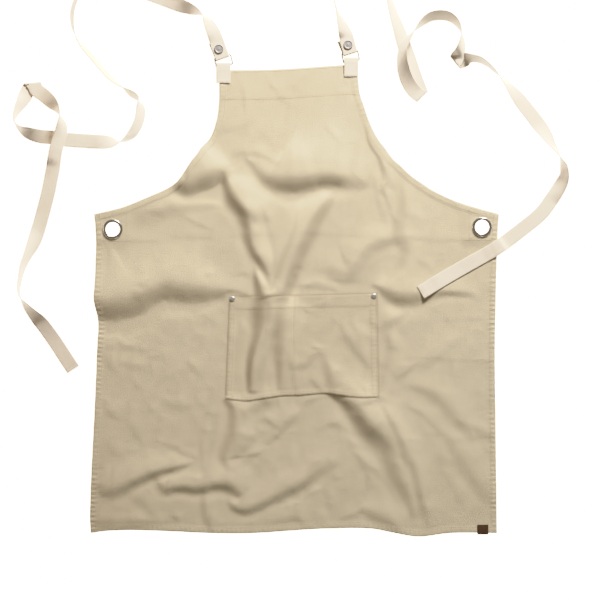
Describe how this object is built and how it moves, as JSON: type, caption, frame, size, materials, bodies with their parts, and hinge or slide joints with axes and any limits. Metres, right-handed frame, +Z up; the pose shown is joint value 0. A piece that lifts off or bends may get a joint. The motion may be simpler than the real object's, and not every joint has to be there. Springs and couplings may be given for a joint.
{
  "type": "cross back apron",
  "caption": "Cross back work apron lying flat: twill bib and skirt panel with a divided pocket, waist eyelets and loose webbing straps snapped round wire rings.",
  "frame": {"origin": "middle of the apron's box in plan, on the surface that it lies on, the two free straps left out", "axes": "+Y from the hem towards the bib, +X to the right of the front view, +Z up out of the front face"},
  "size_m": [0.997, 1.0145, 0.0265],
  "materials": {
    "twill": "beige cotton twill, washed, with soft press creases",
    "webbing": "natural cream cotton webbing",
    "eyelet_metal": "bright nickel",
    "ring_metal": "nickel-plated wire",
    "snap_metal": "antique silver",
    "label": "brown leather, bare"
  },
  "bodies": {
    "root": {"apron_panel": "twill", "pocket_panel": "twill", "eyelet_patch_left": "twill", "eyelet_patch_right": "twill", "eyelet_left": "eyelet_metal", "eyelet_right": "eyelet_metal", "pocket_rivet_left": "snap_metal", "pocket_rivet_right": "snap_metal", "tab_left": "webbing", "tab_right": "webbing", "ring_left": "ring_metal", "ring_right": "ring_metal", "strap_left": "webbing", "strap_right": "webbing", "snap_cap_left": "snap_metal", "snap_cap_right": "snap_metal", "snap_socket_left": "snap_metal", "snap_socket_right": "snap_metal", "hem_label": "label"}
  },
  "joints": []
}
